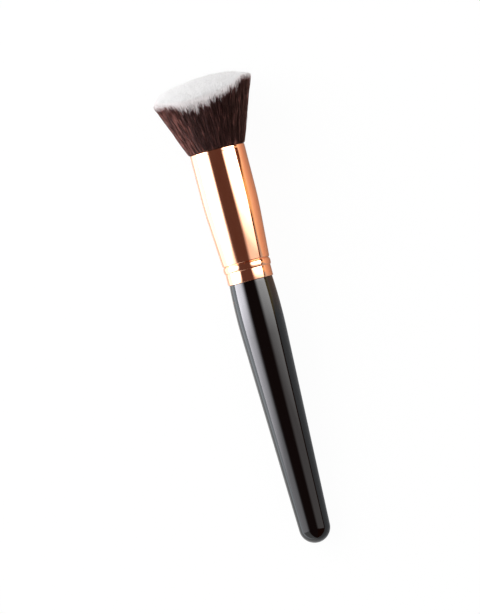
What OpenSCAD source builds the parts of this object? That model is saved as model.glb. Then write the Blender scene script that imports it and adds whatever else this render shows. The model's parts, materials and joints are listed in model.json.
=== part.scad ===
// Angled kabuki makeup brush, lying at rest with the slanted face of its tuft up.
// Every piece is drawn along Z, with the ferrule's mouth at zero and the fibres above it.
// lay_down() then lays it on its round end and on the long side of its tuft, head towards +Y.

/* [Ferrule] */
// Outer diameter of the straight barrel
barrel_d = 19.2; // [17:0.1:22]
// Length of the straight barrel, below the hem
barrel_len = 18.3; // [16:0.1:24]
// Length of the turned hem at the mouth
hem_len = 1; // [0.6:0.1:2]
// Length of the taper below the barrel
taper_len = 19.7; // [12:0.1:26]
// Outer diameter at the end of the taper
taper_end_d = 16.6; // [14:0.1:18]
// Length of the rolled bead
bead_len = 2.4; // [1.4:0.1:3.4]
// Height of the bead over its grooves
bead_rise = 0.4; // [0.2:0.05:0.6]
// Length of the groove on each side of the bead
groove_len = 0.6; // [0.4:0.1:1.4]
// Depth of the grooves below the end of the taper
groove_depth = 0.4; // [0.4:0.05:0.7]
// Length of the plain band that meets the handle
band_len = 3.3; // [2:0.1:6]
// Depth of the plain band below the end of the taper
band_depth = 0.35; // [0.1:0.05:0.4]
// Thickness of the drawn metal
wall = 0.5; // [0.4:0.05:0.6]

/* [Handle] */
// Length of the handle that shows, from the ferrule to its tip
handle_len = 92.6; // [70:0.2:130]
// How far the neck's shoulder covers the end of the ferrule
shoulder = 0.1; // [0.05:0.05:0.5]
// Length over which the neck swells
swell_len = 19.3; // [10:0.1:30]
// How much wider the handle is at the end of the swell than at its neck
swell_rise = 0.6; // [0:0.1:2]
// Diameter of the round end
end_d = 10.8; // [8:0.2:14]
// Length of the tenon inside the ferrule
tenon_len = 24; // [16:0.5:26]

/* [Tuft] */
// Length of the tuft on its axis, from the mouth to the slanted face
tuft_len = 23.4; // [16:0.1:26]
// Diameter of the tuft at that height
tuft_d = 38; // [28:0.5:40]
// Slant of the trimmed face, in degrees
face_slant = 15; // [0:0.5:24]
// How far the bundle spreads as it leaves the mouth
lip_spread = 1.1; // [0.2:0.1:2]
// Height over the mouth at which it has spread that far
lip_rise = 1.2; // [0.8:0.1:2]
// How much shorter the brown outer fibres are than the white ends inside them
white_end = 1.5; // [0.5:0.1:3]
// How far the face falls away at its rim
rim_fall = 2.6; // [0:0.1:3]
// Strands across the tuft, an even number
strand_rows = 18; // [18:2:20]
// Greatest difference in length between neighbouring strands
tip_scatter = 0.4; // [0:0.05:0.8]
// How deep the pressed fibres are flattened where the tuft lies down
press = 0.5; // [0.2:0.1:0.8]

/* [Adhesive] */
// Depth below the mouth at which the fibres leave the set adhesive
root_depth = 4; // [3:0.5:5]
// Thickness of the slice that the strands are fused to
slice_len = 1; // [0.5:0.1:2]
// Length of the root plug below that slice
plug_len = 13.5; // [8:0.5:14]

/* [Hidden] */
$fn = 96;

// Clearance between cast or fitted pieces and the metal round them
fit_gap = 0.02;
// Clearance of the fibres in the barrel, and of the inner fibres in the outer ones
fibre_gap = 0.1;
slice_gap = 0.05;
// Length and depth of the fine line that the hem leaves
hem_line = 0.24;
hem_cut = 0.08;
// Share of its cell that a strand keeps at the mouth and at its tip
mouth_share = 0.9;
tip_share = 0.72;
// Steps in the rounded outlines
bead_steps = 6;
bead_bore_steps = 2;
swell_steps = 2;
dome_steps = 5;

barrel_r = barrel_d / 2;
taper_end_r = taper_end_d / 2;
groove_r = taper_end_r - groove_depth;
band_r = taper_end_r - band_depth;
bore_r = barrel_r - wall;
barrel_end = -hem_len - hem_line - barrel_len;
taper_end = barrel_end - taper_len;
bead_top = taper_end - groove_len;
bead_end = bead_top - bead_len;
band_top = bead_end - groove_len;
ferrule_end = band_top - band_len;

neck_r = band_r - wall + shoulder;
belly_r = neck_r + swell_rise / 2;
tenon_r = groove_r - wall - fit_gap;
tenon_top = ferrule_end + tenon_len;
dome_z = ferrule_end - handle_len + end_d / 2;
dome_r = end_d / 2;
swell_end = ferrule_end - swell_len;
handle_slope = (belly_r - dome_r) / (swell_end - dome_z);
swell = belly_r + handle_slope * swell_len - neck_r;

slice_top = -root_depth;
plug_top = slice_top - slice_len;
plug_end = plug_top - plug_len;

bundle_r = bore_r - fibre_gap;
lip_r = bundle_r + lip_spread;
tuft_r = tuft_d / 2;
flare = (tuft_r - lip_r) / (tuft_len - lip_rise);
inner_share = 1 - 2 / strand_rows;
inner_scale = 1 - slice_gap / (bundle_r * inner_share);

// Points down the bead, from groove to groove, as far inside its outer face as inset says
function bead_line(inset, steps) =
    [for (k = [0:steps])
        [groove_r + bead_rise * sin(180 * k / steps) - inset, bead_top - bead_len * k / steps]];

// Radius of the handle at height z, from the neck to the start of the round end
function handle_r(z) =
    let (straight = belly_r + handle_slope * (z - swell_end), rise = max(0, z - swell_end) / swell_len)
    straight - swell * rise * rise;

// Grid point i, j of a square, moved onto the round bundle with equal areas
function disc(u, v) =
    u == 0 && v == 0 ? [0, 0]
    : abs(u) > abs(v) ? u * [cos(45 * v / u), sin(45 * v / u)]
    : v * [sin(45 * u / v), cos(45 * u / v)];
function grid(i, j) = bundle_r * disc(2 * i / strand_rows - 1, 2 * j / strand_rows - 1);

// How many times wider the tuft is at height z than in the mouth
function spread(z) = (lip_r + flare * (z - lip_rise)) / bundle_r;

// Height at which the fibre that stands at p in the mouth meets the trimmed face
function face_z(p) =
    let (slant = tan(face_slant), rim = pow(norm(p) / bundle_r, 6))
    (tuft_len + slant * p.y * spread(0)) / (1 - slant * p.y * flare / bundle_r) - rim_fall * rim;

// End of the fibre that stands at p, trimmed short by cut
function fibre_end(p, cut) =
    let (z = face_z(p) - cut)
    [p.x * spread(z), p.y * spread(z), z];

// Length that a strand lacks, the same on the left and on the right
function scatter(i, j) =
    tip_scatter * rands(0, 1, 1, 613 * min(i, strand_rows - 1 - i) + 31 * j + 7)[0];

// Corners of cell i, j, as grid points and as places drawn in towards the cell's centre
function corners(i, j) = [[i, j], [i + 1, j], [i + 1, j + 1], [i, j + 1]];
function cell(i, j, share, scale) =
    let (spots = [for (c = corners(i, j)) scale * grid(c.x, c.y)])
    let (centre = (spots[0] + spots[1] + spots[2] + spots[3]) / 4)
    [for (spot = spots) centre + share * (spot - centre)];

// Rings of four points up one strand, from the mouth to its tip
function mouth_ring(i, j, scale) = [for (p = cell(i, j, mouth_share, scale)) [p.x, p.y, 0]];
function lip_ring(i, j, scale) =
    [for (p = spread(lip_rise) * cell(i, j, mouth_share, scale)) [p.x, p.y, lip_rise]];
function tip_ring(i, j, scale, cut) =
    [for (p = cell(i, j, tip_share, scale)) fibre_end(p, cut + scatter(i, j))];

// Cells of the outer ring and cells inside it
last = strand_rows - 1;
outer_cells = [for (i = [0:last], j = [0:last]) if (i == 0 || j == 0 || i == last || j == last) [i, j]];
inner_cells = [for (i = [1:last - 1], j = [1:last - 1]) [i, j]];
outer_tips = [for (c = outer_cells) each tip_ring(c.x, c.y, 1, white_end)];
inner_tips = [for (c = inner_cells) each tip_ring(c.x, c.y, inner_scale, 0)];
tips = concat(outer_tips, inner_tips);

// The brush lies on its round end and on the lowest tips, which are pressed flat
function tilt_on(p) =
    let (run = p.z - dome_z)
    atan2(p.y, run) - asin((dome_r + press) / norm([run, p.y]));
rest_tilt = max([for (p = tips) tilt_on(p)]);
lift = dome_r - dome_z * sin(rest_tilt);
up = [0, -cos(rest_tilt), sin(rest_tilt)];
function pressed(p) = p - min(0, lift + p * up) * up;
head_end = max([for (p = tips) pressed(p) * [0, sin(rest_tilt), cos(rest_tilt)]]);
tail_end = dome_z * cos(rest_tilt) - dome_r;
shift = -(head_end + tail_end) / 2;

module lay_down() {
    translate([0, shift, lift])
        rotate([rest_tilt - 90, 0, 0])
            children();
}

// Faces between two loops of points that start at a and b, counter-clockwise from above
function band_faces(a, b, count) =
    [for (k = [0:count - 1])
        let (n = (k + 1) % count)
        each [[a[k], b[k], b[n]], [a[k], b[n], a[n]]]];
function flipped(faces) = [for (f = faces) [f[0], f[2], f[1]]];

// Grid points around the square that lies m cells in from the edge, as indices into the grid
row = strand_rows + 1;
function place(i, j) = i * row + j;
function loop(m) =
    let (hi = strand_rows - m)
    concat(
        [for (k = [m:hi - 1]) place(k, m)],
        [for (k = [m:hi - 1]) place(hi, k)],
        [for (k = [hi:-1:m + 1]) place(k, hi)],
        [for (k = [hi:-1:m + 1]) place(m, k)]);
function lowered(indices) = [for (k = indices) k + row * row];

// One closed solid: a slice of the adhesive and the strands that stand on its grid
module strands(cells, rings, slice_faces, scale) {
    levels = len(rings[0]) / 4;
    floor_points = [for (i = [0:strand_rows], j = [0:strand_rows]) scale * grid(i, j)];
    points = concat(
        [for (p = floor_points) [p.x, p.y, slice_top]],
        [for (p = floor_points) [p.x, p.y, plug_top]],
        [for (ring = rings) each ring]);
    first = 2 * row * row;
    side_faces = [for (n = [0:len(cells) - 1], level = [0:levels - 1])
        let (above = [for (k = [0:3]) first + 4 * (n * levels + level) + k])
        let (below = level == 0
            ? [for (c = corners(cells[n].x, cells[n].y)) place(c.x, c.y)]
            : [for (k = above) k - 4])
        each band_faces(below, above, 4)];
    tip_faces = [for (n = [0:len(cells) - 1])
        let (t = first + 4 * (n * levels + levels - 1))
        each [[t, t + 3, t + 2], [t, t + 2, t + 1]]];
    polyhedron(points, concat(side_faces, tip_faces, slice_faces));
}

// Turned wood under black lacquer: tenon, neck, swell, taper and round end
module handle() {
    tenon = [
        [0, tenon_top],
        [tenon_r, tenon_top],
        [tenon_r, ferrule_end]];
    neck = [for (k = [0:swell_steps])
        let (z = ferrule_end - swell_len * k / swell_steps)
        [handle_r(z), z]];
    lean = atan(handle_slope);
    dome = [for (k = [0:dome_steps])
        let (turn = lean + (90 - lean) * k / dome_steps)
        [dome_r * cos(turn), dome_z - dome_r * sin(turn)]];
    color("#0d0c0d")
        lay_down()
            rotate_extrude()
                polygon(concat(tenon, neck, dome));
}

// Drawn tube in polished rose gold: hem, barrel, taper, rolled bead and band
module ferrule() {
    outside = concat(
        [[barrel_r, 0], [barrel_r, -hem_len]],
        [[barrel_r - hem_cut, -hem_len - hem_line / 2], [barrel_r, -hem_len - hem_line]],
        [[barrel_r, barrel_end], [taper_end_r, taper_end]],
        bead_line(0, bead_steps),
        [[groove_r, band_top], [band_r, band_top], [band_r, ferrule_end]]);
    inside = concat(
        [[bore_r, 0], [bore_r, barrel_end], [taper_end_r - wall, taper_end]],
        bead_line(wall, bead_bore_steps),
        [[groove_r - wall, band_top], [band_r - wall, band_top], [band_r - wall, ferrule_end]]);
    backwards = [for (k = [len(inside) - 1:-1:0]) inside[k]];
    color("#d8936d")
        lay_down()
            rotate_extrude()
                polygon(concat(outside, backwards));
}

// Set adhesive that the fibre roots are cast into
module root_plug() {
    color("#c8ab6a")
        lay_down()
            translate([0, 0, plug_end])
                cylinder(h = plug_len, r = bore_r - fit_gap);
}

// Set adhesive over the tenon's end and down its side to the first groove
module tenon_adhesive() {
    color("#d9cda4")
        lay_down()
            rotate_extrude()
                polygon([
                    [0, plug_end],
                    [bore_r - fit_gap, plug_end],
                    [bore_r - fit_gap, barrel_end],
                    [taper_end_r - wall - fit_gap, taper_end],
                    [tenon_r + fit_gap, taper_end],
                    [tenon_r + fit_gap, tenon_top],
                    [0, tenon_top]]);
}

// Brown fibres round the outside of the tuft
module outer_fibres() {
    rings = [for (c = outer_cells)
        [for (p = concat(
            mouth_ring(c.x, c.y, 1),
            lip_ring(c.x, c.y, 1),
            tip_ring(c.x, c.y, 1, white_end))) pressed(p)]];
    rim = loop(0);
    inner_rim = loop(1);
    slice_faces = concat(
        band_faces(lowered(rim), rim, len(rim)),
        flipped(band_faces(lowered(inner_rim), inner_rim, len(inner_rim))),
        [for (c = outer_cells)
            let (q = lowered([for (g = corners(c.x, c.y)) place(g.x, g.y)]))
            each [[q[0], q[1], q[2]], [q[0], q[2], q[3]]]]);
    color("#35211e")
        lay_down()
            strands(outer_cells, rings, slice_faces, 1);
}

// Fibres inside them, whose white ends make the trimmed face
module inner_fibres() {
    rings = [for (c = inner_cells)
        [for (p = concat(
            mouth_ring(c.x, c.y, inner_scale),
            tip_ring(c.x, c.y, inner_scale, 0))) pressed(p)]];
    rim = loop(1);
    low = lowered(rim);
    centre = lowered([place(strand_rows / 2, strand_rows / 2)])[0];
    slice_faces = concat(
        band_faces(low, rim, len(rim)),
        [for (k = [0:len(low) - 1]) [centre, low[k], low[(k + 1) % len(low)]]]);
    color("#ece8e4")
        lay_down()
            strands(inner_cells, rings, slice_faces, inner_scale);
}

handle();
ferrule();
root_plug();
tenon_adhesive();
outer_fibres();
inner_fibres();
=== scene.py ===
import json
import math

import bpy
import numpy as np
from mathutils import Matrix, Vector, kdtree


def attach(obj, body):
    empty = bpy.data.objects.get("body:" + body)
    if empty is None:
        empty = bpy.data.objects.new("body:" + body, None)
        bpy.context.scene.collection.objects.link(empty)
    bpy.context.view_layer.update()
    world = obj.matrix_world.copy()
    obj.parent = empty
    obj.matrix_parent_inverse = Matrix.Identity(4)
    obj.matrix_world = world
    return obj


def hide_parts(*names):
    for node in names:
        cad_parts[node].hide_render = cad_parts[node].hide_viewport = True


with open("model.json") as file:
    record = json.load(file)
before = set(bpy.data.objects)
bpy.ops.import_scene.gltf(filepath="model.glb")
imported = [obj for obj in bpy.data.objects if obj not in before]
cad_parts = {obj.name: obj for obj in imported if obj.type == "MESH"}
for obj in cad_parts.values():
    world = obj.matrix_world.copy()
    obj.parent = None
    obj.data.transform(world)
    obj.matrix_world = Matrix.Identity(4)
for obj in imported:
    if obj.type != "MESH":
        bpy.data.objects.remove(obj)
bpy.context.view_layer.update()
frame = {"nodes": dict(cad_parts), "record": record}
print("frame loaded")

# The brush's own axes: x across, y towards the long side of the tuft, z up the fibres from the mouth
mm = 0.001
barrelMount = next(mount for mount in frame["record"]["mounts"] if mount["name"] == "ferrule_barrel")
barrelRadius = barrelMount["dims"]["r_mm"]
barrelLength = barrelMount["dims"]["length_mm"]
brushUp = -Vector(barrelMount["axis"]).normalized()
brushAcross = Vector((1, 0, 0))
brushLongSide = brushUp.cross(brushAcross)
mouthPlace = Vector(barrelMount["pos_m"]) + brushUp * barrelLength / 2 * mm
brushTurn = Matrix((brushAcross, brushLongSide, brushUp)).transposed()
brushToRow = Matrix.Translation(mouthPlace) @ brushTurn.to_4x4() @ Matrix.Scale(mm, 4)


def nodePoints(node):
    # A CAD node's corners in millimetres on the brush's own axes
    mesh = frame["nodes"][node].data
    points = np.empty(len(mesh.vertices) * 3)
    mesh.vertices.foreach_get("co", points)
    rowToBrush = np.array(brushToRow.inverted())
    return points.reshape(-1, 3) @ rowToBrush[:3, :3].T + rowToBrush[:3, 3]


def ringRadius(node, height, reach=0.05):
    # Radius of the widest ring of corners that a CAD node has within this reach of the height
    points = nodePoints(node)
    ring = points[np.abs(points[:, 2] - height) < reach]
    return float(np.hypot(ring[:, 0], ring[:, 1]).max())


ferruleEnd = float(nodePoints("ferrule")[:, 2].min())
tenonTop = float(nodePoints("handle")[:, 2].max())
handleTip = float(nodePoints("handle")[:, 2].min())
plugTop = float(nodePoints("root_plug")[:, 2].max())
neckRadius = ringRadius("handle", ferruleEnd)
tenonRadius = ringRadius("handle", tenonTop)
print(f"brush measured: ferrule ends at {ferruleEnd:.2f}, handle at {handleTip:.2f} mm")


# Camera, at the photograph's angle: over the brush, rolled a little to its right

cameraView = {
    "pixelSize": 0.3426,  # millimetres a pixel at the brush
    "imageHeight": 614,
    "distance": 1100,
    "leanRight": 9.0,  # degrees from straight above the brush
    "leanToHandle": -0.24,
    "imageTurn": 14.5,
    "aimAcross": -5.9,  # the point of the brush at the middle of the picture, from the mouth's middle
    "aimHeight": -54.0,
}


def placeCamera(view):
    lean = math.radians(view["leanRight"])
    pitch = math.radians(view["leanToHandle"])
    roll = math.radians(view["imageTurn"])
    sideways = -brushLongSide * math.cos(lean) + brushAcross * math.sin(lean)
    towardsCamera = sideways * math.cos(pitch) - brushUp * math.sin(pitch)
    upright = (brushUp - towardsCamera * brushUp.dot(towardsCamera)).normalized()
    right = upright.cross(towardsCamera)
    imageUp = upright * math.cos(roll) + right * math.sin(roll)
    imageRight = imageUp.cross(towardsCamera)
    aim = brushToRow @ Vector((view["aimAcross"], 0, view["aimHeight"]))
    data = bpy.data.cameras.new("photoCamera")
    camera = bpy.data.objects.new("photoCamera", data)
    bpy.context.collection.objects.link(camera)
    turn = Matrix((imageRight, imageUp, towardsCamera)).transposed().to_4x4()
    camera.matrix_world = Matrix.Translation(aim + towardsCamera * view["distance"] * mm) @ turn
    halfHeight = view["imageHeight"] * view["pixelSize"] / 2
    data.angle = 2 * math.atan(halfHeight / view["distance"])
    data.clip_start = 0.01
    bpy.context.scene.camera = camera


placeCamera(cameraView)
print("camera placed")


# Tools for the node trees of materials, lamps and the world

def fillSocket(tree, socket, value):
    # Links another node's output, or sets a number or a colour
    if isinstance(value, bpy.types.NodeSocket):
        tree.links.new(value, socket)
    else:
        socket.default_value = value


def addNode(tree, kind, **inputs):
    node = tree.nodes.new(kind)
    for name, value in inputs.items():
        fillSocket(tree, node.inputs[name], value)
    return node


def numberNode(tree, operation, *values):
    node = tree.nodes.new("ShaderNodeMath")
    node.operation = operation
    for place, value in enumerate(values):
        fillSocket(tree, node.inputs[place], value)
    return node.outputs[0]


def rangeNode(tree, value, fromRange, toRange, kind="LINEAR"):
    # Carries a value from one range over to another
    node = addNode(tree, "ShaderNodeMapRange", Value=value)
    node.interpolation_type = kind
    for name, number in zip(("From Min", "From Max", "To Min", "To Max"), (*fromRange, *toRange)):
        node.inputs[name].default_value = number
    return node.outputs["Result"]


def mixColours(tree, factor, first, second):
    # The first colour where the factor is 0, the second where it is 1
    node = tree.nodes.new("ShaderNodeMix")
    node.data_type = "RGBA"
    for place, value in ((0, factor), (6, first), (7, second)):
        fillSocket(tree, node.inputs[place], value)
    return node.outputs[2]


def mixShaders(tree, factor, first, second):
    node = tree.nodes.new("ShaderNodeMixShader")
    for place, output in enumerate((factor, first, second)):
        tree.links.new(output, node.inputs[place])
    return node.outputs[0]


def addRamp(tree, factor, stops):
    # A colour ramp from pairs of position and colour
    ramp = addNode(tree, "ShaderNodeValToRGB", Fac=factor)
    elements = ramp.color_ramp.elements
    for number, (position, colour) in enumerate(stops):
        element = elements[number] if number < 2 else elements.new(position)
        element.position = position
        element.color = (*colour, 1)
    return ramp.outputs["Color"]


# Tools for materials

def newMaterial(name):
    # A material with nothing but its shader
    material = bpy.data.materials.new(name)
    material.use_nodes = True
    tree = material.node_tree
    tree.nodes.clear()
    output = tree.nodes.new("ShaderNodeOutputMaterial")
    shader = tree.nodes.new("ShaderNodeBsdfPrincipled")
    tree.links.new(shader.outputs["BSDF"], output.inputs["Surface"])
    return material, shader


def attributeNode(tree, name):
    node = tree.nodes.new("ShaderNodeAttribute")
    node.attribute_name = name
    return node.outputs["Fac"]


def noiseNode(tree, coordinates, scale, detail):
    noise = addNode(tree, "ShaderNodeTexNoise", Vector=coordinates, Scale=scale, Detail=detail)
    return noise.outputs["Fac"]


def patternNode(tree, pattern):
    # Noise in millimetres on the brush's own axes; a low "along" draws it out along the brush
    place = tree.nodes.new("ShaderNodeTexCoord").outputs["Object"]
    turn = addNode(tree, "ShaderNodeMapping", Vector=place, Location=mouthPlace,
                   Rotation=brushTurn.to_euler(), Scale=(mm, mm, mm))
    turn.vector_type = "TEXTURE"
    stretching = (1, 1, pattern["along"])
    stretch = addNode(tree, "ShaderNodeMapping", Vector=turn.outputs["Vector"], Scale=stretching)
    return noiseNode(tree, stretch.outputs["Vector"], pattern["scale"], pattern["detail"])


def patternColour(tree, noise, pattern, finish):
    # The finish's deep colour where the pattern is low and its own colour where it is high
    low, high = pattern["range"]
    return addRamp(tree, noise, [(low, finish["deepColour"]), (high, finish["colour"])])


def bumpNode(tree, height, distance):
    return addNode(tree, "ShaderNodeBump", Height=height, Distance=distance * mm)


# Tools for turned pieces

def turnOnLathe(name, outline, sides):
    # The outline is a list of (radius, height); each ring is pulled out of the one before it
    bpy.ops.object.select_all(action="DESELECT")
    radius, height = outline[0]
    bpy.ops.mesh.primitive_circle_add(vertices=sides, radius=radius, location=(0, 0, height))
    piece = bpy.context.object
    piece.name = name
    bpy.ops.object.mode_set(mode="EDIT")
    bpy.ops.mesh.select_all(action="SELECT")
    for nextRadius, nextHeight in outline[1:]:
        bpy.ops.mesh.extrude_region_move(TRANSFORM_OT_translate={"value": (0, 0, nextHeight - height)})
        widen = nextRadius / radius
        bpy.ops.transform.resize(value=(widen, widen, 1), center_override=(0, 0, nextHeight))
        radius, height = nextRadius, nextHeight
    bpy.ops.object.mode_set(mode="OBJECT")
    return piece


def closeTurnedPiece(piece):
    # Merges rings that meet, closes what is open and turns every face outwards
    bpy.ops.object.mode_set(mode="EDIT")
    bpy.ops.mesh.select_all(action="SELECT")
    bpy.ops.mesh.remove_doubles(threshold=0.001)
    bpy.ops.mesh.select_all(action="SELECT")
    bpy.ops.mesh.fill_holes(sides=0)
    bpy.ops.mesh.select_all(action="SELECT")
    bpy.ops.mesh.normals_make_consistent(inside=False)
    bpy.ops.object.mode_set(mode="OBJECT")


def settleOnBrush(piece, smoothAngle=35):
    # Puts a piece modelled in millimetres on the brush and leaves its object at the origin
    bpy.ops.object.select_all(action="DESELECT")
    piece.select_set(True)
    bpy.context.view_layer.objects.active = piece
    piece.matrix_world = brushToRow @ piece.matrix_world
    bpy.ops.object.transform_apply(location=True, rotation=True, scale=True)
    bpy.ops.object.shade_smooth_by_angle(angle=math.radians(smoothAngle))


def arcPoints(centre, radius, startAngle, endAngle, steps):
    # Points on part of a circle, as (radius, height)
    angles = np.linspace(math.radians(startAngle), math.radians(endAngle), steps + 1)
    return [(centre[0] + radius * math.cos(a), centre[1] + radius * math.sin(a)) for a in angles]


def easedShare(step, steps):
    # From 0 at the first step to 1 at the last, slowly at both
    return (1 - math.cos(math.pi * step / steps)) / 2


# Ferrule: thin tube drawn in rose gold

ferruleSizes = {
    "sides": 160,
    "wall": 0.5,
    "hemLength": 1.0,
    "hemLineLength": 0.24,
    "hemLineDepth": 0.03,
    "taperLength": 19.7,
    "taperEndRadius": 8.3,
    "taperBlend": 9.0,  # length over which the barrel passes into the taper
    "grooveLength": 0.6,
    "grooveRadius": 7.9,
    "beadLength": 2.4,
    "beadRise": 0.4,
    "beadFullness": 0.8,  # 1 is a plain arch, and less makes the bead's flanks steeper
    "bandRadius": 7.95,
    "bandStart": 0.4,  # share of the lower groove before the step up to the band
    "edgeRounding": 0.12,
    # Rings along each form
    "lipSteps": 12,
    "hemLineSteps": 8,
    "blendSteps": 14,
    "grooveSteps": 8,
    "beadSteps": 18,
    "bandSteps": 5,
    "roundingSteps": 4,
}


def ferruleOutline(sizes):
    wall = sizes["wall"]
    grooveLength = sizes["grooveLength"]
    grooveRadius = sizes["grooveRadius"]
    taperTop = -barrelLength
    taperEnd = taperTop - sizes["taperLength"]
    slope = (barrelRadius - sizes["taperEndRadius"]) / sizes["taperLength"]
    beadTop = taperEnd - grooveLength
    beadEnd = beadTop - sizes["beadLength"]
    bandTop = beadEnd - grooveLength
    lip = wall / 2
    # Over the rolled lip, from the bore to the outside
    outline = arcPoints((barrelRadius - lip, -lip), lip, 180, 0, sizes["lipSteps"])
    # Fine line below the hem
    lineSteps = sizes["hemLineSteps"]
    for step in range(lineSteps + 1):
        dip = easedShare(2 * step, lineSteps)
        height = -sizes["hemLength"] - sizes["hemLineLength"] * step / lineSteps
        outline.append((barrelRadius - sizes["hemLineDepth"] * dip, height))
    # Barrel that passes into the taper without a crease
    blend = sizes["taperBlend"]
    for step in range(sizes["blendSteps"] + 1):
        along = blend * step / sizes["blendSteps"]
        outline.append((barrelRadius - slope * along * along / (2 * blend), taperTop + blend / 2 - along))
    # Groove, rolled bead, groove
    for step in range(sizes["grooveSteps"] + 1):
        share = easedShare(step, sizes["grooveSteps"])
        radius = sizes["taperEndRadius"] + (grooveRadius - sizes["taperEndRadius"]) * share
        outline.append((radius, taperEnd - grooveLength * step / sizes["grooveSteps"]))
    for step in range(1, sizes["beadSteps"] + 1):
        rise = sizes["beadRise"] * math.sin(math.pi * step / sizes["beadSteps"]) ** sizes["beadFullness"]
        height = beadTop - sizes["beadLength"] * easedShare(step, sizes["beadSteps"])
        outline.append((grooveRadius + rise, height))
    # Soft step up to the plain band
    for step in range(1, sizes["bandSteps"] + 1):
        radius = grooveRadius + (sizes["bandRadius"] - grooveRadius) * easedShare(step, sizes["bandSteps"])
        along = sizes["bandStart"] + (1 - sizes["bandStart"]) * step / sizes["bandSteps"]
        outline.append((radius, beadEnd - grooveLength * along))
    # Band and its end
    rounding = sizes["edgeRounding"]
    edgeCentre = (sizes["bandRadius"] - rounding, ferruleEnd + rounding)
    outline += arcPoints(edgeCentre, rounding, 0, -90, sizes["roundingSteps"])
    # Back up inside, one wall away
    outline += [
        (sizes["bandRadius"] - wall, ferruleEnd),
        (sizes["bandRadius"] - wall, bandTop),
        (grooveRadius - wall, bandTop),
        (grooveRadius - wall, beadEnd),
        (grooveRadius - wall + sizes["beadRise"], (beadTop + beadEnd) / 2),
        (grooveRadius - wall, beadTop),
        (sizes["taperEndRadius"] - wall, taperEnd),
        (barrelRadius - wall, taperTop),
        outline[0],
    ]
    return outline


ferrule = turnOnLathe("ferruleTube", ferruleOutline(ferruleSizes), ferruleSizes["sides"])
closeTurnedPiece(ferrule)
settleOnBrush(ferrule)
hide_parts("ferrule")
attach(ferrule, "root")
print("ferrule turned:", len(ferrule.data.polygons), "faces")


# Handle: turned wood under black lacquer

handleSizes = {
    "sides": 160,
    "swellLength": 19.3,
    "bellyRadius": 7.85,
    "endRadius": 5.4,
    "endAngle": -89,  # where the round end stops, just short of a point, before it is closed
    "tenonChamfer": 0.8,
    "shoulderRounding": 0.12,
    # Rings along each form
    "roundingSteps": 4,
    "swellSteps": 24,
    "taperSteps": 12,
    "endSteps": 22,
}


def handleOutline(sizes):
    endRadius = sizes["endRadius"]
    endHeight = handleTip + endRadius
    bellyRadius = sizes["bellyRadius"]
    swellLength = sizes["swellLength"]
    swellEnd = ferruleEnd - swellLength
    slope = (bellyRadius - endRadius) / (swellEnd - endHeight)
    swell = bellyRadius + slope * swellLength - neckRadius
    chamfer = sizes["tenonChamfer"]
    rounding = sizes["shoulderRounding"]
    # Tenon and the shoulder that the ferrule sits on
    outline = [
        (tenonRadius - chamfer, tenonTop),
        (tenonRadius, tenonTop - chamfer),
        (tenonRadius, ferruleEnd),
    ]
    shoulderCentre = (neckRadius - rounding, ferruleEnd - rounding)
    outline += arcPoints(shoulderCentre, rounding, 90, 0, sizes["roundingSteps"])
    # Swell below the ferrule
    for step in range(1, sizes["swellSteps"] + 1):
        height = ferruleEnd - rounding - (swellLength - rounding) * step / sizes["swellSteps"]
        rise = (height - swellEnd) / swellLength
        outline.append((bellyRadius + slope * (height - swellEnd) - swell * rise * rise, height))
    # Straight taper to the round end
    lean = math.degrees(math.atan(slope))
    end = arcPoints((0, endHeight), endRadius, -lean, sizes["endAngle"], sizes["endSteps"])
    startRadius, startHeight = outline[-1]
    endOfTaper = end[0]
    for step in range(1, sizes["taperSteps"]):
        share = step / sizes["taperSteps"]
        radius = startRadius + (endOfTaper[0] - startRadius) * share
        outline.append((radius, startHeight + (endOfTaper[1] - startHeight) * share))
    return outline + end


handle = turnOnLathe("handleLacquered", handleOutline(handleSizes), handleSizes["sides"])
closeTurnedPiece(handle)
settleOnBrush(handle)
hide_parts("handle")
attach(handle, "root")
print("handle turned:", len(handle.data.polygons), "faces")


# Tuft: separate fibres from the set adhesive to the slanted face, in millimetres

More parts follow.
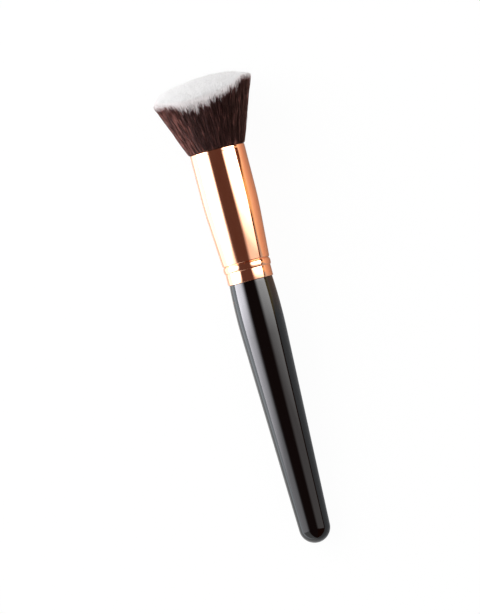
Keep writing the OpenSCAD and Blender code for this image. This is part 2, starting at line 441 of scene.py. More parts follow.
tuftSizes = {
    "seed": 11,
    "fibres": 24000,
    "outerShare": 0.25,  # share of the fibres that stand in the outer ring
    "bundleRadius": 9.0,
    "standScatter": 0.03,
    "lipRadius": 9.8,  # where the flare's straight side would start in the mouth
    "lipBulge": 0.15,  # length over which the bundle bulges over the lip
    "flare": (0.364, 0.385),  # across and towards the long side
    "lean": -0.02,
    # Trimmed face
    "length": 23.2,
    "slant": 14.2,
    "sideTilt": 0.018,
    "rimFall": 1.85,
    "rimPower": 6,  # a higher power keeps the fall closer to the rim
    # Clumps and the finer locks in them; a pair of pulls is for the middle of the tuft and its outside
    "clumpSpacing": 0.8,
    "clumpPull": (0.05, 0.09),
    "lockSpacing": 0.24,
    "lockPull": (0.3, 0.55),
    "lockLength": 0.3,
    "lockScatter": 0.22,  # in spacings, as the next is
    "lockReach": 0.6,
    # Bends, waves and stray fibres
    "lengthScatter": 0.5,
    "wander": 0.2,
    "bendPower": 1.6,
    "wave": 0.16,
    "innerWave": 0.3,  # share of the wave that the innermost fibres have
    "waveLength": 13.0,
    "waveStart": 5,  # height at which the wave has grown to its size
    "strayShare": 0.025,
    "strayLength": 0.7,
    "strayWander": 3.0,
    # Fibre radius at the mouth, near the top and at the tip; the inner fibres fill the flare
    "thickness": {"inner_fibres": (0.055, 0.1, 0.05), "outer_fibres": (0.055, 0.055, 0.022)},
    "swellHeight": 12,
    "tipTaper": 3.5,
    "tipPower": 0.6,
    "spin": 97,  # radians of turn from the darkest shade to the palest, so that neighbours stand differently
    # Rings of a fibre: their heights at the mouth, then their shares of the way to the tip
    "rings": {
        "inner_fibres": ([plugTop, 0.6], [0.55, 0.85, 1]),
        "outer_fibres": ([plugTop, 0, 0.3, 0.9], [0.18, 0.34, 0.5, 0.66, 0.8, 0.92, 1]),
    },
    # Round the outside of the tuft, by the angle from its right: length of the white ends, and how far the
    # outer fibres stand over the trimmed face
    "roundAngles": (-180, -154, -134, -119, -108, -94, -83, -68, -54, -37, -22, 8, 35, 60, 90, 150, 180),
    "whiteLengths": (1.1, 1.1, 0.6, 1.1, 1.9, 1.9, 2.5, 1.3, 0.9, 1.1, 0.3, 0.6, 0.6, 1.4, 2.0, 1.6, 1.1),
    "tipRises": (-0.6, 0.3, 0.6, 0.3, 0, 0, 0, 0.1, 0.3, 1.1, 2.1, 0.3, -1.3, -0.7, 0, -0.4, -0.6),
    # How far in from the outside the brown ends reach, by the place across the tuft, all in bundle radii
    "brownPlaces": (-0.5, 0.5, 0.78),
    "brownDepths": (0.22, 0.35, 0.4),
    "brownEdge": 0.04,
    "leastWhite": -0.3,
    "whiteInside": 8.0,
    "whiteClumps": 0.15,
    "whiteLocks": 0.45,
    "whiteScatter": 0.5,
    "spikes": 0.6,
    # Shade of a fibre, from 0 for the darkest to 1: shares of its clump, its lock and itself
    "shadeShares": (0.1, 0.22, 0.68),
    "shadeContrast": 1.3,
    "shadeLimit": 0.8,
    "shadeWave": 0.2,
    "shadeWaveLength": 8.5,
    # Painted light: fibres paler towards the left, where the lamps light the tuft most; places across the
    # tuft, in bundle radii, and what the shade gains there
    "paintedLightPlaces": (-0.85, -0.5, -0.28),
    "paintedLightShades": (0.43, 0.25, 0),
    # Map for the bake
    "shadeSteps": 64,
    "mapAbove": 6,  # length of the map over the end of the brown
    "mapLength": 48,
    "mapTip": 0.2,
}
goldenAngle = math.pi * (3 - math.sqrt(5))


def fibreSpread(sizes, height):
    # How many times wider the tuft is at this height than in the mouth, across and towards the long side
    above = np.maximum(height, 0)[..., None]
    straight = (sizes["lipRadius"] + np.array(sizes["flare"]) * above) / sizes["bundleRadius"]
    return straight - (sizes["lipRadius"] / sizes["bundleRadius"] - 1) * np.exp(-above / sizes["lipBulge"])


def trimmedHeight(sizes, stand):
    # Height at which a fibre that stands here in the mouth meets the slanted face
    radius = sizes["bundleRadius"]
    slant = math.tan(math.radians(sizes["slant"]))
    slope = (slant * stand[:, 1] + sizes["sideTilt"] * stand[:, 0]) / radius
    plane = (sizes["length"] + slope * sizes["lipRadius"]) / (1 - slope * sizes["flare"][1])
    return plane - sizes["rimFall"] * (np.hypot(stand[:, 0], stand[:, 1]) / radius) ** sizes["rimPower"]


def packedPlaces(count, radius, startAngle):
    # Places spread evenly over a round, from its middle outwards
    order = np.arange(count) + 0.5
    out = radius * np.sqrt(order / count)
    angle = order * goldenAngle + startAngle
    return np.stack([out * np.cos(angle), out * np.sin(angle)], axis=1)


def standingPlaces(sizes, random):
    # Where the fibres stand in the mouth
    radius = sizes["bundleRadius"]
    stand = packedPlaces(sizes["fibres"], radius, 0)
    stand += random.normal(0, sizes["standScatter"], stand.shape)
    reach = np.hypot(stand[:, 0], stand[:, 1])
    return stand * np.minimum(1, radius / reach)[:, None]


def gatherFibres(sizes, stand, spacing, random):
    # Gathers each fibre to the nearest of evenly spread middles; edge is 0 there and 1 at its group's edge
    radius = sizes["bundleRadius"]
    count = int(math.pi * radius ** 2 / spacing ** 2)
    middles = packedPlaces(count, radius, 1)
    middles += random.normal(0, sizes["lockScatter"] * spacing, middles.shape)
    tree = kdtree.KDTree(count)
    for number, middle in enumerate(middles):
        tree.insert((middle[0], middle[1], 0), number)
    tree.balance()
    nearest = np.array([tree.find((x, y, 0))[1] for x, y in stand])
    way = middles[nearest] - stand
    edge = np.minimum(1, np.hypot(way[:, 0], way[:, 1]) / (sizes["lockReach"] * spacing))
    return {"count": count, "nearest": nearest, "way": way, "edge": edge}


def fibrePlaces(sizes, stand, random):
    # What a fibre's stand says of it: outerness is 0 in the white inside and 1 at the outside
    across = stand[:, 0] / sizes["bundleRadius"]
    reach = np.hypot(stand[:, 0], stand[:, 1]) / sizes["bundleRadius"]
    depth = np.interp(across, sizes["brownPlaces"], sizes["brownDepths"])
    return {
        "across": across,
        "direction": np.degrees(np.arctan2(stand[:, 1], stand[:, 0])),
        "outerness": np.clip((reach - 1 + depth) / (depth - sizes["brownEdge"]), 0, 1),
        "clump": gatherFibres(sizes, stand, sizes["clumpSpacing"], random),
        "lock": gatherFibres(sizes, stand, sizes["lockSpacing"], random),
    }


def fibreTips(sizes, stand, places, random):
    # Height of each tip, and which fibres are stray
    count = sizes["fibres"]
    lock = places["lock"]
    tip = trimmedHeight(sizes, stand) - sizes["lengthScatter"] * random.random(count) ** 3
    tip = tip - sizes["lockLength"] * random.random(lock["count"])[lock["nearest"]]
    rise = np.interp(places["direction"], sizes["roundAngles"], sizes["tipRises"])
    tip = tip + rise * places["outerness"] ** 2
    stray = random.random(count) < sizes["strayShare"]
    return tip + stray * sizes["strayLength"] * random.random(count), stray


def fibreBends(sizes, places, tip, stray, random):
    # How far each tip goes aside: to its clump, to its lock and by itself
    clumpPull = np.interp(places["outerness"], (0, 1), sizes["clumpPull"])
    lockPull = np.interp(places["outerness"], (0, 1), sizes["lockPull"])
    pulled = places["clump"]["way"] * clumpPull[:, None] + places["lock"]["way"] * lockPull[:, None]
    wander = sizes["wander"] * (1 + (sizes["strayWander"] - 1) * stray)
    return pulled * fibreSpread(sizes, tip) + random.normal(0, 1, (len(tip), 2)) * wander[:, None]


def whiteEnds(sizes, places, random):
    # Length of each fibre's white end
    clump = places["clump"]
    lock = places["lock"]
    white = np.interp(places["direction"], sizes["roundAngles"], sizes["whiteLengths"])
    white = white + random.normal(0, sizes["whiteClumps"], clump["count"])[clump["nearest"]]
    white = white + random.normal(0, sizes["whiteLocks"], lock["count"])[lock["nearest"]]
    white = white + sizes["spikes"] * (clump["edge"] + lock["edge"] - 1)
    white = white + random.normal(0, sizes["whiteScatter"], sizes["fibres"])
    return np.maximum(sizes["leastWhite"], white) + sizes["whiteInside"] * (1 - places["outerness"])


def fibreShades(sizes, places, random):
    clump = places["clump"]
    lock = places["lock"]
    clumpShare, lockShare, ownShare = sizes["shadeShares"]
    shade = clumpShare * random.random(clump["count"])[clump["nearest"]]
    shade = shade + lockShare * random.random(lock["count"])[lock["nearest"]]
    shade = shade + ownShare * random.random(sizes["fibres"])
    shade = np.minimum(0.5 + sizes["shadeContrast"] * (shade - 0.5), sizes["shadeLimit"])
    # Painted light: the shade gains more towards the tuft's left, where the lamps light it
    shade = shade + np.interp(places["across"], sizes["paintedLightPlaces"], sizes["paintedLightShades"])
    steps = sizes["shadeSteps"]
    return (np.floor(shade * steps).clip(0, steps - 1) + 0.5) / steps


def planFibres(sizes):
    # Everything that each fibre needs; the draws stay in this order, because the tuft hangs on it
    random = np.random.default_rng(sizes["seed"])
    stand = standingPlaces(sizes, random)
    places = fibrePlaces(sizes, stand, random)
    lock = places["lock"]
    tip, stray = fibreTips(sizes, stand, places, random)
    bend = fibreBends(sizes, places, tip, stray, random)
    waveShare = sizes["innerWave"] + (1 - sizes["innerWave"]) * places["outerness"]
    wave = random.normal(0, sizes["wave"], (sizes["fibres"], 2)) * waveShare[:, None]
    wavePhase = 2 * math.pi * random.random(sizes["fibres"])
    white = whiteEnds(sizes, places, random)
    shade = fibreShades(sizes, places, random)
    shadePhase = 2 * math.pi * random.random(lock["count"])[lock["nearest"]]
    return {"stand": stand, "tip": tip, "bend": bend, "wave": wave, "wavePhase": wavePhase,
            "white": white, "shade": shade, "shadePhase": shadePhase}


def ringHeights(rings, tip):
    atMouth, upShares = rings
    low = np.repeat(np.array([atMouth]), len(tip), axis=0)
    up = atMouth[-1] + (tip - atMouth[-1])[:, None] * np.array([upShares])
    return np.concatenate([low, up], axis=1)


def ringCentres(sizes, fibres, chosen, heights):
    # Centre of each chosen fibre at each of its heights, in millimetres on the brush's axes
    stand = fibres["stand"][chosen][:, None, :]
    tip = fibres["tip"][chosen][:, None]
    rise = np.clip(heights / tip, 0, 1) ** sizes["bendPower"]
    turn = 2 * math.pi * heights / sizes["waveLength"] + fibres["wavePhase"][chosen][:, None]
    sway = np.sin(turn) * np.clip(heights / sizes["waveStart"], 0, 1)
    places = stand * fibreSpread(sizes, heights)
    places[:, :, 0] += sizes["lean"] * np.maximum(heights, 0)
    places = places + fibres["bend"][chosen][:, None, :] * rise[:, :, None]
    places = places + fibres["wave"][chosen][:, None, :] * sway[:, :, None]
    return np.concatenate([places, heights[:, :, None]], axis=2)


def ringRadii(sizes, thickness, heights, fromTip):
    atMouth, nearTop, atTip = thickness
    swollen = atMouth + (nearTop - atMouth) * np.clip(heights / sizes["swellHeight"], 0, 1)
    return atTip + (swollen - atTip) * np.clip(fromTip / sizes["tipTaper"], 0, 1) ** sizes["tipPower"]


def ringCorners(centres, radii, spin):
    # Three corners round each centre, each fibre turned by its own spin
    corners = []
    for corner in range(3):
        angle = spin + corner * 2 * math.pi / 3
        out = np.stack([np.cos(angle), np.sin(angle), np.zeros_like(angle)], axis=1)
        corners.append(centres + out[:, None, :] * radii[:, :, None])
    return np.stack(corners, axis=2)


def restOnFloor(points, clearance=0.05):
    # Fibres that would pass through the floor lie on it
    turn = np.array(brushToRow)
    row = points @ turn[:3, :3].T + turn[:3, 3]
    row[..., 2] = np.maximum(row[..., 2], clearance * mm)
    return row


def fibreFaces(count, rings):
    # The three sides of every fibre from ring to ring, then all the tips and all the roots
    first = (np.arange(count) * rings * 3)[:, None, None]
    ring = first + (np.arange(rings - 1) * 3)[None, :, None]
    side = np.arange(3)[None, None, :]
    after = (side + 1) % 3
    sides = np.stack([ring + side, ring + after, ring + 3 + after, ring + 3 + side], axis=3)
    root = first[:, 0, 0]
    top = root + (rings - 1) * 3
    tips = np.stack([top, top + 1, top + 2], axis=1)
    roots = np.stack([root + 2, root + 1, root], axis=1)
    return sides.reshape(-1, 4).tolist() + tips.tolist() + roots.tolist()


def growFibres(name, sizes, fibres, chosen, node):
    # One mesh of three-sided fibres with the attributes and the map that its material and its bake use
    tip = fibres["tip"][chosen]
    heights = ringHeights(sizes["rings"][node], tip)
    fromTip = tip[:, None] - heights
    centres = ringCentres(sizes, fibres, chosen, heights)
    radii = ringRadii(sizes, sizes["thickness"][node], heights, fromTip)
    spin = fibres["shade"][chosen] * sizes["spin"]
    points = restOnFloor(ringCorners(centres, radii, spin)).reshape(-1, 3)
    mesh = bpy.data.meshes.new(name)
    mesh.from_pydata(points, [], fibreFaces(*heights.shape))
    fromWhite = np.repeat((fromTip - fibres["white"][chosen][:, None]).reshape(-1), 3)
    turn = 2 * math.pi * heights / sizes["shadeWaveLength"] + fibres["shadePhase"][chosen][:, None]
    shade = fibres["shade"][chosen][:, None] + sizes["shadeWave"] * np.sin(turn)
    shade = np.repeat(np.clip(shade, 0.01, 0.99).reshape(-1), 3)
    for attribute, values in (("fromWhite", fromWhite), ("shade", shade)):
        layer = mesh.attributes.new(attribute, "FLOAT", "POINT")
        layer.data.foreach_set("value", values.astype(np.float32))
    addBakeMap(mesh, sizes, shade, fromWhite)
    piece = bpy.data.objects.new(name, mesh)
    bpy.context.collection.objects.link(piece)
    mesh.polygons.foreach_set("use_smooth", [True] * len(mesh.polygons))
    return piece


def addBakeMap(mesh, sizes, shade, fromWhite):
    # Each shade has a strip of the map: across it go the three sides, up it the way from the tip
    corner = np.empty(len(mesh.loops), dtype=np.int32)
    mesh.loops.foreach_get("vertex_index", corner)
    side = corner % 3
    faceSize = np.empty(len(mesh.polygons), dtype=np.int32)
    mesh.polygons.foreach_get("loop_total", faceSize)
    face = np.repeat(np.arange(len(faceSize)), faceSize)
    hasFirst = np.zeros(len(faceSize), dtype=bool)
    hasLast = np.zeros(len(faceSize), dtype=bool)
    np.logical_or.at(hasFirst, face, side == 0)
    np.logical_or.at(hasLast, face, side == 2)
    closing = (hasFirst & hasLast & (faceSize == 4))[face] & (side == 0)
    across = (side + 3 * closing) / 3
    u = shade[corner] + (across - 0.5) / sizes["shadeSteps"]
    tipWidth = sizes["mapTip"] * ((faceSize == 3)[face] & (side == 1))
    v = np.clip((fromWhite[corner] + tipWidth + sizes["mapAbove"]) / sizes["mapLength"], 0.001, 0.999)
    layer = mesh.uv_layers.new(name="OFBake")
    layer.data.foreach_set("uv", np.stack([u, v], axis=1).reshape(-1).astype(np.float32))


fibreFinish = {
    # Colours by the fibre's shade, and the one between them where white turns to brown; the palest browns are
    # reached mostly where painted light is added at the tuft's left
    "brown": [(0.2, (0.003, 0.0012, 0.0012)), (0.5, (0.01, 0.0042, 0.0042)), (0.68, (0.028, 0.0115, 0.011)),
              (0.8, (0.06, 0.025, 0.022)), (0.9, (0.11, 0.045, 0.04)), (1, (0.36, 0.155, 0.13))],
    "between": (0.34, 0.2, 0.22),
    "white": [(0, (0.83, 0.82, 0.82)), (0.5, (0.9, 0.895, 0.895)), (1, (0.95, 0.945, 0.945))],
    "fade": 0.9,
    "fadeOverlap": 0.2,
    "roughness": 0.33,
    # Tint and strength of the sheen
    "brownSheen": ((1.0, 0.52, 0.46), 0.65),
    "whiteSheen": ((1.0, 1.0, 1.0), 0.45),
}


def fibreMaterial(name, finish, sheen):
    material, shader = newMaterial(name)
    tree = material.node_tree
    shade = attributeNode(tree, "shade")
    fromWhite = attributeNode(tree, "fromWhite")
    half = finish["fade"] / 2
    overlap = finish["fadeOverlap"] * half
    leavesWhite = rangeNode(tree, fromWhite, (-half, overlap), (0, 1))
    turnsBrown = rangeNode(tree, fromWhite, (-overlap, half), (0, 1))
    pale = mixColours(tree, leavesWhite, addRamp(tree, shade, finish["white"]), (*finish["between"], 1))
    colour = mixColours(tree, turnsBrown, pale, addRamp(tree, shade, finish["brown"]))
    tree.links.new(colour, shader.inputs["Base Color"])
    sheenColour, sheenLevel = sheen
    shader.inputs["Specular Tint"].default_value = (*sheenColour, 1)
    shader.inputs["Specular IOR Level"].default_value = sheenLevel
    shader.inputs["Roughness"].default_value = finish["roughness"]
    return material


fibres = planFibres(tuftSizes)
order = np.arange(tuftSizes["fibres"])
innerCount = int(tuftSizes["fibres"] * (1 - tuftSizes["outerShare"]))
middleEnd = innerCount // 3
aroundEnd = 2 * innerCount // 3
leftSide = fibres["stand"][:, 0] < 0
fibreGroups = {
    "innerFibresMiddle": (order < middleEnd, "inner_fibres"),
    "innerFibresAround": ((order >= middleEnd) & (order < aroundEnd), "inner_fibres"),
    "innerFibresWide": ((order >= aroundEnd) & (order < innerCount), "inner_fibres"),
    "outerFibresLeft": ((order >= innerCount) & leftSide, "outer_fibres"),
    "outerFibresRight": ((order >= innerCount) & ~leftSide, "outer_fibres"),
}
fibreFinishes = {
    "inner_fibres": fibreMaterial("whiteEndedFibre", fibreFinish, fibreFinish["whiteSheen"]),
    "outer_fibres": fibreMaterial("brownFibre", fibreFinish, fibreFinish["brownSheen"]),
}
for pieceName, (chosen, node) in fibreGroups.items():
    piece = growFibres(pieceName, tuftSizes, fibres, chosen, node)
    piece.data.materials.append(fibreFinishes[node])
    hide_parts(node)
    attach(piece, "root")
    print(pieceName, "grown:", len(piece.data.polygons), "faces")


# Finishes; a pattern's range is the part of its noise that the colour or the roughness follows

roseGold = {
    "colour": (0.95, 0.53, 0.34),
    "deepColour": (0.9, 0.46, 0.28),
    "roughness": (0.06, 0.1),
    "clouds": {"scale": 0.35, "along": 0.25, "detail": 3, "range": (0.3, 0.65)},
    "streaks": {"scale": 2.2, "along": 0.03, "detail": 6, "range": (0.35, 0.65)},
    "dents": {"scale": 0.22, "along": 0.08, "detail": 2},
    "streakHeight": 0.0012,
    "dentHeight": 0.01,
}


def roseGoldMaterial(finish):
    material, shader = newMaterial("roseGold")
    tree = material.node_tree
    clouds = patternNode(tree, finish["clouds"])
    streaks = patternNode(tree, finish["streaks"])
    dents = patternNode(tree, finish["dents"])
    tree.links.new(patternColour(tree, clouds, finish["clouds"], finish), shader.inputs["Base Color"])
    rough = rangeNode(tree, streaks, finish["streaks"]["range"], finish["roughness"])
    tree.links.new(rough, shader.inputs["Roughness"])
    drawn = bumpNode(tree, streaks, finish["streakHeight"])
    dented = bumpNode(tree, dents, finish["dentHeight"])
    tree.links.new(drawn.outputs["Normal"], dented.inputs["Normal"])
    tree.links.new(dented.outputs["Normal"], shader.inputs["Normal"])
    shader.inputs["Metallic"].default_value = 1
    return material


blackLacquer = {
    "colour": (0.0004, 0.0005, 0.0006),
    "deepColour": (0.0002, 0.0003, 0.0004),
    "roughness": (0.05, 0.09),
    "grain": {"scale": 1.6, "along": 0.06, "detail": 4, "range": (0.35, 0.7)},
    "rubbed": {"scale": 0.35, "along": 1, "detail": 4, "range": (0.35, 0.7)},
    "peel": {"scale": 0.5, "along": 0.6, "detail": 2},
    "peelHeight": 0.004,
}


def lacquerMaterial(finish):
    material, shader = newMaterial("blackLacquer")
    tree = material.node_tree
    grain = patternNode(tree, finish["grain"])
    tree.links.new(patternColour(tree, grain, finish["grain"], finish), shader.inputs["Base Color"])
    rubbed = patternNode(tree, finish["rubbed"])
    rough = rangeNode(tree, rubbed, finish["rubbed"]["range"], finish["roughness"])
    tree.links.new(rough, shader.inputs["Roughness"])
    peel = bumpNode(tree, patternNode(tree, finish["peel"]), finish["peelHeight"])
    tree.links.new(peel.outputs["Normal"], shader.inputs["Normal"])
    return material


resinClouds = {"scale": 0.6, "along": 1, "detail": 4, "range": (0.3, 0.7)}
rootResin = {
    "colour": (0.74, 0.62, 0.38),
    "deepColour": (0.62, 0.49, 0.27),
    "roughness": (0.35, 0.5),
    "clouds": resinClouds,
    "cloudHeight": 0.05,
}
tenonGlue = {
    "colour": (0.82, 0.77, 0.6),
    "deepColour": (0.72, 0.66, 0.48),
    "roughness": (0.45, 0.6),
    "clouds": resinClouds,
    "cloudHeight": 0.05,
}


def resinMaterial(name, finish):
    material, shader = newMaterial(name)
    tree = material.node_tree
    clouds = patternNode(tree, finish["clouds"])
    tree.links.new(patternColour(tree, clouds, finish["clouds"], finish), shader.inputs["Base Color"])
    rough = rangeNode(tree, clouds, finish["clouds"]["range"], finish["roughness"])
    tree.links.new(rough, shader.inputs["Roughness"])
    uneven = bumpNode(tree, clouds, finish["cloudHeight"])
    tree.links.new(uneven.outputs["Normal"], shader.inputs["Normal"])
    return material


def finishNode(node, material):
    for materialSlot in frame["nodes"][node].material_slots:
        materialSlot.material = material


ferrule.data.materials.append(roseGoldMaterial(roseGold))
handle.data.materials.append(lacquerMaterial(blackLacquer))
finishNode("root_plug", resinMaterial("rootResin", rootResin))
finishNode("tenon_adhesive", resinMaterial("tenonGlue", tenonGlue))
print("finishes set")


# Lamps, in metres: two strips beside the brush for its highlights, a card at its left and a soft key

stripLamps = {
    "leftStrip": {
        "angles": (-88.5, -25.6),  # its edges, from straight up towards the brush's right
        "level": 14.0,
        "colour": (1.0, 0.98, 1.06),
        "headPart": (0.24, 0.52),  # shares of its length between which it grows to its full level
        "tailLevel": 0.12,
        "rise": (-2, -1),  # shares of its width where it comes up and goes down
        "fall": (0.5, 0.98),
        "edgeGlow": 0,
        "edgeColour": (1.0, 1.0, 1.0),
    },
    "rightStrip": {
        "angles": (21.5, 89),
        "level": 7.4,
        "colour": (1.0, 1.0, 1.0),
        "headPart": (0.27, 0.65),
        "tailLevel": 0.14,
        "rise": (0.02, 0.32),
        "fall": (0.855, 0.875),
        "edgeGlow": 0.12,
        "edgeColour": (1.0, 0.76, 0.36),
    },
}
stripPlaces = {
    "distance": 0.6,
    "length": 0.56,
    "glowStart": (0.44, 0.5),  # shares of a strip's length where the glow of its edge comes up and goes down
    "glowEnd": (0.648, 0.656),
}
leftCard = {
    "reach": (-1.4, -0.033),
    "height": 0.0005,
    "length": 0.56,
    "colour": (0.9, 1.0, 1.1),
    "level": 1.5,
}
softKey = {
    "place": (-0.95, 0.65, 0.7),
    "size": 1.6,
    "level": 2.55,
}


def addLamp(name, place, facing, width, length, level):
    # A rectangular lamp, its long side along the brush, whose face has this brightness
    data = bpy.data.lights.new(name, "AREA")
    data.shape = "RECTANGLE"
    data.size = width
    data.size_y = length
    data.energy = level * math.pi * width * length
    lamp = bpy.data.objects.new(name, data)
    bpy.context.collection.objects.link(lamp)
    across = Vector((0, 1, 0)).cross(facing).normalized()
    turn = Matrix((across, facing.cross(across), facing)).transposed().to_4x4()
    lamp.matrix_world = Matrix.Translation(place) @ turn
    return lamp


def addStripLamp(name, strip, places):
    # Seen only in highlights, shaded across its width and dimmer towards the handle's end
    low, high = (math.radians(angle) for angle in strip["angles"])
    middle = (low + high) / 2
    outwards = Vector((math.sin(middle), 0, math.cos(middle)))
    distance = places["distance"]
    width = 2 * distance * math.tan((high - low) / 2)
    lamp = addLamp(name, outwards * distance, outwards, width, places["length"], strip["level"])
    lamp.data.color = strip["colour"]
    lamp.visible_diffuse = False
    lamp.data.use_nodes = True
    shadeStrip(lamp.data.node_tree, strip, places)


def shadeStrip(tree, strip, places):
    onLamp = tree.nodes.new("ShaderNodeNewGeometry").outputs["Parametric"]
    split = addNode(tree, "ShaderNodeSeparateXYZ", Vector=onLamp)
    across = split.outputs["X"]
    along = split.outputs["Y"]
    lengthwise = rangeNode(tree, along, strip["headPart"], (strip["tailLevel"], 1))
    rise = rangeNode(tree, across, strip["rise"], (0, 1), "SMOOTHSTEP")
    fall = rangeNode(tree, across, strip["fall"], (1, 0), "SMOOTHSTEP")
    glowStart = rangeNode(tree, along, places["glowStart"], (0, strip["edgeGlow"]), "SMOOTHSTEP")
    glowEnd = rangeNode(tree, along, places["glowEnd"], (1, 0), "SMOOTHSTEP")
    glow = numberNode(tree, "MULTIPLY", numberNode(tree, "MULTIPLY", glowStart, glowEnd), rise)
    full = numberNode(tree, "MULTIPLY", numberNode(tree, "MULTIPLY", rise, fall), lengthwise)
    colour = mixColours(tree, fall, (*strip["edgeColour"], 1), (1, 1, 1, 1))
    emission = tree.nodes["Emission"]
    tree.links.new(colour, emission.inputs["Color"])
    tree.links.new(numberNode(tree, "MAXIMUM", full, glow), emission.inputs["Strength"])


def addCard(card):
    # White card on the floor at the left, seen only in reflections
    low, high = card["reach"]
    middle = Vector(((low + high) / 2, 0, card["height"]))
    lamp = addLamp("leftCard", middle, Vector((0, 0, -1)), high - low, card["length"], card["level"])
    lamp.data.color = card["colour"]
    lamp.visible_camera = False
    lamp.visible_diffuse = False


def addKey(key):
    # Broad soft lamp that lights colours at their own level and leaves no highlight
    place = Vector(key["place"])
    lamp = addLamp("softKey", place, place.normalized(), key["size"], key["size"], key["level"])
    lamp.visible_glossy = False


for lampName, strip in stripLamps.items():
    addStripLamp(lampName, strip, stripPlaces)
addCard(leftCard)
addKey(softKey)
print("lamps placed")


# World: white for the camera, plain soft light, and in reflections a dark band overhead along the brush

surroundings = {
    "softLight": 0.8,
    "overhead": (-34, 24),  # angles of the dark band, from straight up towards the brush's right
    "overheadEdge": 10,
    "overheadColour": (0.11, 0.055, 0.046),
    "leftColour": (1.0, 1.0, 1.0),
    "rightColour": (0.14, 0.04, 0.02),
}


def buildWorld(around):
    world = bpy.data.worlds.new("studioWorld")
    world.use_nodes = True
    bpy.context.scene.world = world
    tree = world.node_tree
    tree.nodes.clear()
    direction = tree.nodes.new("ShaderNodeTexCoord").outputs["Generated"]
    split = addNode(tree, "ShaderNodeSeparateXYZ", Vector=direction)
    angle = numberNode(tree, "ARCTAN2", split.outputs["X"], split.outputs["Z"])
    low, high = (math.radians(edge) for edge in around["overhead"])
    soft = math.radians(around["overheadEdge"])
    toLeft = rangeNode(tree, angle, (low - soft, low), (1, 0), "SMOOTHSTEP")
    toRight = rangeNode(tree, angle, (high, high + soft), (0, 1), "SMOOTHSTEP")
    colour = mixColours(tree, toLeft, (*around["overheadColour"], 1), (*around["leftColour"], 1))
    colour = mixColours(tree, toRight, colour, (*around["rightColour"], 1))
    softLight = addNode(tree, "ShaderNodeBackground", Color=(1, 1, 1, 1), Strength=around["softLight"])
    mirrored = addNode(tree, "ShaderNodeBackground", Color=colour)
    backdrop = addNode(tree, "ShaderNodeBackground", Color=(1, 1, 1, 1))
    path = tree.nodes.new("ShaderNodeLightPath")
    lit = mixShaders(tree, path.outputs["Is Glossy Ray"], softLight.outputs[0], mirrored.outputs[0])
    lit = mixShaders(tree, path.outputs["Is Camera Ray"], lit, backdrop.outputs[0])
    addNode(tree, "ShaderNodeOutputWorld", Surface=lit)


buildWorld(surroundings)
print("world built")


# Floor: pale, keeps the brush's shadow, and shows near white to the camera; the metal and the lacquer see a
# share of painted glow in it, and to the right of the brush a painted reflection with painted shade near the
# brush

paleFloor = {
    "size": 6.0,
    "level": 0.9,
    "grainDepth": 0.01,
    "grainScale": 40,
    "roughness": 0.9,
    "glow": 0.96,  # share of its own plain white that the camera sees
    "shine": 0.35,  # and that the metal and the lacquer see, as painted glow in their reflections
    # Painted reflection colours that only the metal and the lacquer see to the right of the brush, in metres:
    # beside the ferrule by the distance out, darker close to the brush as a painted shadow; a painted dark
    # shade in a corner beside the mouth; and a painted grey shadow beside the handle
    "rightStart": (-0.005, 0.01),
    "paintedReflectionColours": [(0.003, (0.34, 0.26, 0.22)), (0.02, (0.62, 0.42, 0.32)), (0.04, (0.8, 0.52, 0.39)),
                    (0.093, (1.0, 0.8, 0.6)), (0.2, (0.97, 0.72, 0.35))],
    "paintedCornerShade": (0.13, 0.035, 0.018),
    "cornerStart": 0.059,  # along the brush, and how much further along for each metre out
    "cornerSlope": 0.033,
    "cornerEdge": 0.004,
    "cornerReach": (0.1, 0.14),
    "paintedHandleShadow": (0.5, 0.51, 0.53),
    "handleEdge": (-0.004, 0.01),
}


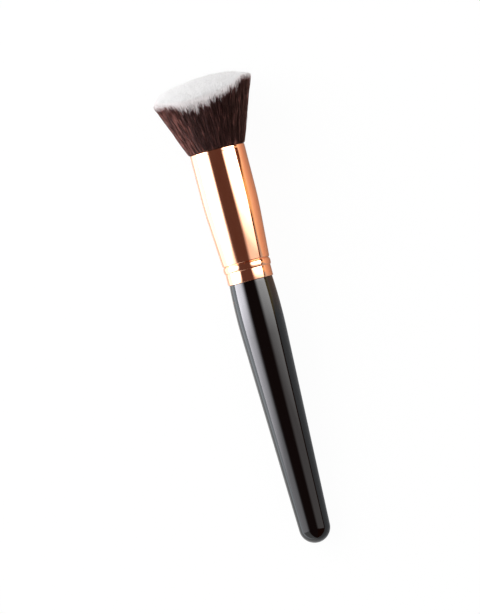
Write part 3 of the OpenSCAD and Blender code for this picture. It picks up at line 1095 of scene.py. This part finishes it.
# Painted reflection to the right of the brush: warm, with painted shade near the brush, in the corner by the
# mouth and beside the handle
def paintedRightReflection(tree, look, across, along):
    line = numberNode(tree, "MULTIPLY_ADD", across, -look["cornerSlope"], along)
    start = look["cornerStart"]
    besideMouth = rangeNode(tree, line, (start, start + look["cornerEdge"]), (0, 1))
    farOut = rangeNode(tree, across, look["cornerReach"], (0, 1))
    inCorner = numberNode(tree, "MULTIPLY", besideMouth, farOut)
    warm = mixColours(tree, inCorner, addRamp(tree, across, look["paintedReflectionColours"]), (*look["paintedCornerShade"], 1))
    besideMetal = rangeNode(tree, along, look["handleEdge"], (0, 1))
    return mixColours(tree, besideMetal, (*look["paintedHandleShadow"], 1), warm)


def floorMaterial(look):
    material, shader = newMaterial("paleFloor")
    tree = material.node_tree
    place = tree.nodes.new("ShaderNodeTexCoord").outputs["Object"]
    grain = noiseNode(tree, place, look["grainScale"], 3)
    level = look["level"]
    pale = addRamp(tree, grain, [(0.3, (level - look["grainDepth"],) * 3), (0.7, (level,) * 3)])
    split = addNode(tree, "ShaderNodeSeparateXYZ", Vector=place)
    path = tree.nodes.new("ShaderNodeLightPath")
    inCamera = path.outputs["Is Camera Ray"]
    inGloss = path.outputs["Is Glossy Ray"]
    # Glossy rays to the right see the painted reflection colours instead of the pale floor, partly as painted
    # glow
    toRight = rangeNode(tree, split.outputs["X"], look["rightStart"], (0, 1))
    paintedRightMask = numberNode(tree, "MULTIPLY", toRight, inGloss)
    paintedRightColour = paintedRightReflection(tree, look, split.outputs["X"], split.outputs["Y"])
    tree.links.new(mixColours(tree, paintedRightMask, pale, paintedRightColour), shader.inputs["Base Color"])
    shader.inputs["Roughness"].default_value = look["roughness"]
    shader.inputs["Specular IOR Level"].default_value = 0
    glow = addNode(tree, "ShaderNodeEmission", Color=mixColours(tree, paintedRightMask, (1, 1, 1, 1), paintedRightColour))
    seen = numberNode(tree, "MULTIPLY", inCamera, look["glow"])
    mirrored = numberNode(tree, "MULTIPLY", inGloss, look["shine"])
    share = numberNode(tree, "ADD", seen, mirrored)
    surface = mixShaders(tree, share, shader.outputs[0], glow.outputs[0])
    output = next(node for node in tree.nodes if node.type == "OUTPUT_MATERIAL")
    tree.links.new(surface, output.inputs["Surface"])
    return material


bpy.ops.object.select_all(action="DESELECT")
bpy.ops.mesh.primitive_plane_add(size=paleFloor["size"], location=(0, 0, 0))
floor = bpy.context.object
floor.name = "studioFloor"
floor.data.materials.append(floorMaterial(paleFloor))
bpy.context.scene.view_settings.view_transform = "Standard"
print("floor laid")
